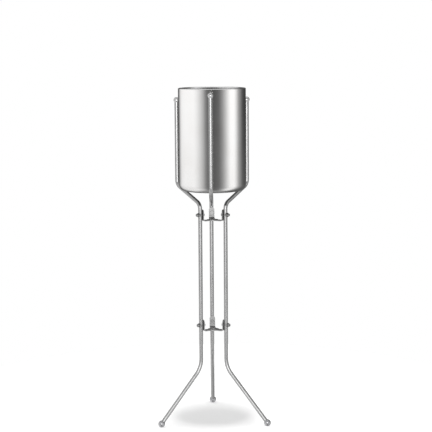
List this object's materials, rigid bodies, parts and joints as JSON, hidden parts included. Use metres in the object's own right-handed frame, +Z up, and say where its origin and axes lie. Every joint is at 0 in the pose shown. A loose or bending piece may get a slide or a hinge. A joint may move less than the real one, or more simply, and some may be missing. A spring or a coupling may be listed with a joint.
{
  "type": "champagne bucket stand",
  "caption": "Floor stand of bent rods bolted to star brackets, splayed into legs below and a cradle above, with a lift-out double-walled bottle cooler.",
  "frame": {"origin": "on the floor, on the vertical axis of the column", "axes": "+Z up; +Y towards the back leg, so the front upright is at -Y; +X to the right seen from the front"},
  "size_m": [0.2008, 0.1929, 0.6005],
  "materials": {
    "rod_steel": "satin polished",
    "ball_steel": "polished",
    "foot_ball": "satin",
    "bracket_steel": "satin plated",
    "fastener_steel": "plated",
    "cooler_outer": "brushed round the wall",
    "cooler_inner": "brushed",
    "cooler_plate": "pressed"
  },
  "bodies": {
    "stand": {"rod_left": "rod_steel", "rod_right": "rod_steel", "rod_crossing": "rod_steel", "finial_left": "ball_steel", "finial_right": "ball_steel", "finial_front": "ball_steel", "foot_left": "foot_ball", "foot_right": "foot_ball", "foot_back": "foot_ball", "bracket_lower": "bracket_steel", "bracket_upper": "bracket_steel", "screw_lower_left": "fastener_steel", "screw_lower_right": "fastener_steel", "screw_lower_back": "fastener_steel", "screw_upper_left": "fastener_steel", "screw_upper_right": "fastener_steel", "screw_upper_back": "fastener_steel", "washer_lower_left": "fastener_steel", "washer_lower_right": "fastener_steel", "washer_lower_back": "fastener_steel", "washer_upper_left": "fastener_steel", "washer_upper_right": "fastener_steel", "washer_upper_back": "fastener_steel", "nut_lower_left": "fastener_steel", "nut_lower_right": "fastener_steel", "nut_lower_back": "fastener_steel", "nut_upper_left": "fastener_steel", "nut_upper_right": "fastener_steel", "nut_upper_back": "fastener_steel"},
    "bucket": {"cooler_shell": "cooler_outer", "cooler_liner": "cooler_inner", "cooler_base": "cooler_plate"}
  },
  "joints": [
    {"name": "bucket_lift", "type": "slide", "parent": "stand", "child": "bucket", "axis": [0, 0, 1], "range_m": [0, 0.2]}
  ]
}
